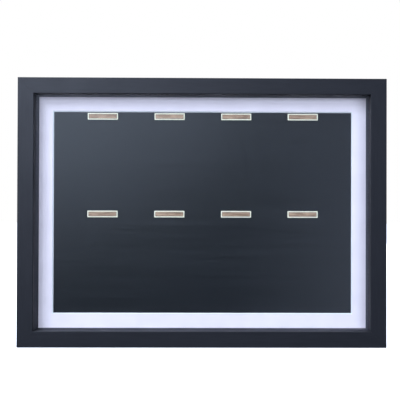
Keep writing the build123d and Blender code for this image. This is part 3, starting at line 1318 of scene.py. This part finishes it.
@dataclass
class WallHangers:
    """Two rolled straps with D rings, screwed to the upright rails."""

    width: float = 8.0
    thickness: float = 1.0
    bore: float = 1.2
    roll: float = 293.0
    foot_rounding: float = 3.2
    screw_rise: float = 7.0
    hole_radius: float = 1.6
    edge_rounding: float = 0.18
    wire_radius: float = 1.1
    wire_sheen: Sheen = Sheen(0.18, 0.36)
    ring_width: float = 13.0
    ring_drop: float = 13.0
    ring_shoulder: float = 2.0
    ring_bow: float = 5.5
    wire_sides: int = 20
    flat_stations: tuple[float, ...] = (5.0, 9.0, 13.0, 18.0, 24.0)
    foot_steps: int = 8
    roll_steps: int = 36
    screw: PanScrew = field(default_factory=PanScrew)

    def build(self) -> None:
        """Build the straps, rings and screws."""
        for side in (Side.LEFT, Side.RIGHT):
            self.build_strap(side)
            self.build_ring(side)
        head_y = Extent.of("hanger_screws").high.y - self.screw.head_height
        places = [Vector((place.x, head_y, place.z)) for place in self.screw_places()]
        self.screw.build("hanger_pan_screws", "hanger_screws", places)

    def screw_places(self) -> list[Vector]:
        """Where the straps are screwed down, left then right."""
        straps = [Extent.of(f"hanger_strap_{side.label}") for side in (Side.LEFT, Side.RIGHT)]
        return [Vector((strap.middle.x, strap.low.y, strap.low.z + self.screw_rise)) for strap in straps]

    def build_strap(self, side: Side) -> None:
        """Roll one strap over the ring's wire.

        Args:
            side: Left or right.
        """
        node = f"hanger_strap_{side.label}"
        strap = Extent.of(node)
        radius = self.bore + self.thickness / 2
        flat_y = strap.low.y + self.thickness / 2
        pivot = Vector((strap.middle.x, flat_y + radius, strap.high.z - radius - self.thickness / 2))
        widths = []
        for step in range(self.foot_steps + 1):
            swing = math.pi / 2 * step / self.foot_steps
            missing = self.foot_rounding * (1 - math.sin(swing))
            widths.append((self.foot_rounding * (1 - math.cos(swing)), self.width / 2 - missing))
        widths += [(rise, self.width / 2) for rise in self.flat_stations]
        path = [
            (Vector((pivot.x, flat_y, strap.low.z + rise)), Vector((0, 1, 0)), half)
            for rise, half in widths
        ]
        for step in range(self.roll_steps + 1):
            swing = math.radians(180 - self.roll * step / self.roll_steps)
            outward = Vector((0, math.cos(swing), math.sin(swing)))
            path.append((pivot + outward * radius, -outward, self.width / 2))
        draft, rings = Draft(), []
        for point, inside, half in path:
            over, across = inside * (self.thickness / 2), Vector((half, 0, 0))
            sides = (-across - over, across - over, across + over, -across + over)
            rings.append(draft.ring(point + side for side in sides))
        draft.skin(rings, ends=(0, 0))
        band = draft.piece(f"rolled_{node}", BrightZincPlate())
        centre = Vector((pivot.x, strap.low.y, strap.low.z + self.screw_rise))
        pierce(band, centre, self.hole_radius, self.thickness)
        soften(band, self.edge_rounding)
        place_piece(band, "frame", node)

    def build_ring(self, side: Side) -> None:
        """Bend one D ring from round wire, hanging from its straight side.

        Args:
            side: Left or right.
        """
        node = f"hanging_ring_{side.label}"
        wire = Extent.of(node)
        top = wire.high.z - self.wire_radius
        half = self.ring_width / 2
        left, right = wire.middle.x - half, wire.middle.x + half
        corners = [
            (left, top - self.ring_drop, self.ring_bow),
            (right, top - self.ring_drop, self.ring_bow),
            (right, top, self.ring_shoulder),
            (left, top, self.ring_shoulder),
        ]
        line = rounded_outline(corners, steps=10)
        draft = Draft()
        rings = []
        for place, point in enumerate(line):
            ahead = (line[(place + 1) % len(line)] - line[place - 1]).normalized()
            outward = Vector((ahead.y, 0, -ahead.x))
            points = []
            for side_number in range(self.wire_sides):
                swing = 2 * math.pi * side_number / self.wire_sides
                offset = outward * math.cos(swing) + Vector((0, math.sin(swing), 0))
                points.append(Vector((point.x, wire.middle.y, point.y)) + offset * self.wire_radius)
            rings.append(draft.ring(points))
        draft.skin(rings, looped=True)
        ring = draft.piece(f"wire_{node}", BrightZincPlate(sheen=self.wire_sheen))
        place_piece(ring, node, node)


@dataclass
class WallBumpers:
    """Two moulded rubber bumpers that keep the bottom of the frame off the wall."""

    draught: float = 0.25
    rounding: float = 1.0
    dimple_radius: float = 1.6
    dimple: tuple[tuple[float, float], ...] = ((1.15625, 0.0), (1.0, 0.08), (0.6, 0.4), (0.0, 0.5))

    def build(self) -> None:
        """Mould both bumpers."""
        for side in (Side.LEFT, Side.RIGHT):
            node = f"wall_bumper_{side.label}"
            extent = Extent.of(node)
            radius, tall = extent.size.x / 2, extent.size.y
            profile = [(0.0, 0.0), *dome(radius, radius - self.draught, tall, self.rounding)]
            profile += [(self.dimple_radius * share, tall - drop) for share, drop in self.dimple]
            draft = Draft()
            draft.revolved(profile, Vector((extent.middle.x, extent.low.y, extent.middle.z)))
            bumper = draft.piece(f"moulded_{node}", MouldedBlackRubber())
            place_piece(bumper, "frame", node)


# --- Studio --------------------------------------------------------------------------------------------


@dataclass(frozen=True)
class Glow:
    """A soft patch of light in the room: where it is, how far it spreads and how strong it is."""

    way: tuple[float, float, float]
    spread: tuple[float, float]
    strength: float


@dataclass(frozen=True)
class Lamp:
    """A soft lamp aimed at the middle of the frame, which no camera sees.

    A lamp behind a diffusing scrim lights matt surfaces and leaves no highlight on glossy ones.
    """

    name: str
    place: tuple[float, float, float]
    size: tuple[float, float]
    power: float
    tint: str
    scrim: bool = False

    def build(self) -> None:
        """Hang the lamp and aim it."""
        data = bpy.data.lights.new(self.name, "AREA")
        data.shape = "RECTANGLE"
        data.size, data.size_y = self.size
        data.energy = self.power
        data.color = linear(self.tint)[:3]
        lamp = bpy.data.objects.new(self.name, data)
        lamp.visible_camera = False
        lamp.visible_transmission = False
        lamp.visible_glossy = not self.scrim
        place = Vector(self.place)
        target = (CAD_BOUNDS[0] + CAD_BOUNDS[1]) / 2
        aim = (target - place).to_track_quat("-Z", "Y").to_matrix().to_4x4()
        lamp.matrix_world = Matrix.Translation(place) @ aim
        bpy.context.scene.collection.objects.link(lamp)


@dataclass
class Studio:
    """A white paper floor, a soft room, a lamp at the upper left, a wide fill and a lamp behind."""

    camera_place: tuple[float, float, float] = (0.0131, -0.6757, 0.1705)
    camera_turns: tuple[float, float, float] = (-0.425, 0.322, 0.168)
    focal_length: float = 48.11
    sensor_width: float = 36.0
    shift: tuple[float, float] = (-0.0423, 0.0162)
    floor_size: float = 12.0
    lamps: tuple[Lamp, ...] = (
        Lamp("soft_lamp", (-0.62, -1.0, 0.85), (0.6, 0.6), 15.0, "#DBE7FF"),
        Lamp("wide_fill", (0.3, -2.2, 0.36), (2.2, 0.68), 50.0, "#DBE7FF", scrim=True),
        Lamp("rear_lamp", (1.2, 1.4, 1.0), (1.6, 1.6), 34.0, "#F4F6FF"),
    )
    room_dim: float = 0.023
    room_tint: str = "#D2E0FF"
    glows: tuple[Glow, ...] = (
        Glow((-0.36, -0.35, 0.84), (0.27, 1.0), 1.3),
        Glow((0.6, -0.8, -0.1), (0.8, 1.0), 0.52),
        Glow((0.15, 0.9, 0.35), (0.0, 0.9), 0.9),
    )

    def build(self) -> None:
        """Set up the camera, floor, lamps and room light."""
        self.build_camera()
        self.build_floor()
        for lamp in self.lamps:
            lamp.build()
        self.build_room()
        bpy.context.scene.view_settings.view_transform = "Standard"

    def build_camera(self) -> None:
        """Aim the camera by its yaw, pitch and roll."""
        yaw, pitch, roll = (math.radians(turn) for turn in self.camera_turns)
        data = bpy.data.cameras.new("front_camera")
        data.lens = self.focal_length
        data.sensor_width = self.sensor_width
        data.shift_x, data.shift_y = self.shift
        camera = bpy.data.objects.new("front_camera", data)
        aim = Matrix.Rotation(yaw, 4, "Z") @ Matrix.Rotation(math.pi / 2 + pitch, 4, "X")
        turned = aim @ Matrix.Rotation(roll, 4, "Z")
        camera.matrix_world = Matrix.Translation(self.camera_place) @ turned
        bpy.context.scene.collection.objects.link(camera)
        bpy.context.scene.camera = camera

    def build_floor(self) -> None:
        """Lay the paper under the frame, left out of reflections so that dark faces stay dark."""
        steps = (-self.floor_size / 2, 0.0, self.floor_size / 2)
        draft = Draft()
        draft.skin([draft.ring(Vector((x, y, 0.0)) / MM for x in steps) for y in steps], closed=False)
        floor = draft.piece("paper_floor", WhiteSeamlessPaper())
        floor.visible_glossy = False
        floor.visible_transmission = False
        floor.visible_diffuse = False

    def build_room(self) -> None:
        """Light the room from its bright side and show it white behind the frame."""
        world = bpy.data.worlds.new("soft_room")
        world.use_nodes = True
        tree = world.node_tree
        tree.nodes.clear()
        way = add_node(tree, "TexCoord").outputs["Generated"]
        level = self.room_dim
        for glow in self.glows:
            middle = Vector(glow.way).normalized()
            facing = add_node(tree, "VectorMath", {0: way, 1: middle}, operation="DOT_PRODUCT")
            limits = {
                "Value": facing.outputs["Value"],
                "From Min": glow.spread[0],
                "From Max": glow.spread[1],
                "To Max": glow.strength,
            }
            patch = add_node(tree, "MapRange", limits, interpolation_type="SMOOTHSTEP").outputs["Result"]
            level = add_node(tree, "Math", {0: level, 1: patch}, operation="ADD").outputs["Value"]
        room = add_node(tree, "Background", {"Color": linear(self.room_tint), "Strength": level})
        white = add_node(tree, "Background", {"Color": linear("#FFFFFF"), "Strength": 1.0})
        seen = add_node(tree, "LightPath").outputs["Is Camera Ray"]
        mixed = add_node(
            tree, "MixShader", {0: seen, 1: room.outputs["Background"], 2: white.outputs["Background"]}
        )
        add_node(tree, "OutputWorld", {"Surface": mixed.outputs["Shader"]})
        bpy.context.scene.world = world


def main() -> None:
    """Build the whole display frame and its studio."""
    logging.basicConfig(level=logging.INFO, format="%(name)s: %(message)s")
    Studio().build()
    buttons, hangers = TurnButtons(), WallHangers()
    MouldedFrame(buttons.pivots() + hangers.screw_places()).build()
    GlazedStack().build()
    NamePlates().build()
    buttons.build()
    hangers.build()
    WallBumpers().build()


if __name__ == "__main__":
    main()
